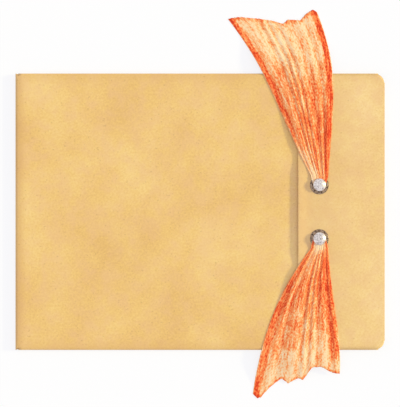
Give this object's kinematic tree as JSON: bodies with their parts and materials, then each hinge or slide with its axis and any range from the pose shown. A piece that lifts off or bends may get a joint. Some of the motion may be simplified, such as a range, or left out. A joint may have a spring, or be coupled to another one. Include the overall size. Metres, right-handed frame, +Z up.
{
  "type": "string tie envelope",
  "caption": "Flat manila envelope with an end flap that opens at a double score, domed rivet studs on the flap and gathered orange tie ribbons under the studs.",
  "frame": {"origin": "middle of the back panel's underside, which lies on the table", "axes": "+X from the closed end to the flap's scores, +Y along the short side towards the upper ribbon, +Z up out of the face"},
  "size_m": [0.3048, 0.3224, 0.0113],
  "materials": {
    "manila": "matte",
    "glue": "satin",
    "stud": "polished",
    "washer": "satin",
    "ribbon": "matte"
  },
  "bodies": {
    "pocket": {"back_panel": "manila", "front_panel": "manila", "closed_end_fold": "manila", "upper_side_fold": "manila", "lower_side_fold": "manila", "upper_seam_lap": "manila", "lower_seam_lap": "manila", "upper_seam_glue": "glue", "lower_seam_glue": "glue"},
    "spine": {"flap_spine": "manila"},
    "flap": {"closing_flap": "manila", "upper_rivet": "stud", "upper_washer": "washer", "upper_burr": "washer", "upper_ribbon_gather": "ribbon", "lower_rivet": "stud", "lower_washer": "washer", "lower_burr": "washer", "lower_ribbon_gather": "ribbon"},
    "upper_tie": {"upper_ribbon_tail": "ribbon"},
    "lower_tie": {"lower_ribbon_tail": "ribbon"}
  },
  "joints": [
    {"name": "spine_score", "type": "hinge", "parent": "pocket", "child": "spine", "pos_m": [0.15225, 0, 0.00015], "axis": [0, 1, 0], "range_deg": [0, 85]},
    {"name": "flap_score", "type": "hinge", "parent": "spine", "child": "flap", "pos_m": [0.15225, 0, 0.00655], "axis": [0, 1, 0], "range_deg": [0, 85]},
    {"name": "upper_ribbon_lift", "type": "hinge", "parent": "flap", "child": "upper_tie", "pos_m": [0.0985, 0.03025, 0.00899], "axis": [-1, 0, 0], "range_deg": [-90, 0]},
    {"name": "lower_ribbon_lift", "type": "hinge", "parent": "flap", "child": "lower_tie", "pos_m": [0.0985, -0.03025, 0.00899], "axis": [1, 0, 0], "range_deg": [-90, 0]}
  ],
  "couplings": [
    {"joint": "flap_score", "follows": "spine_score", "ratio": 1}
  ]
}
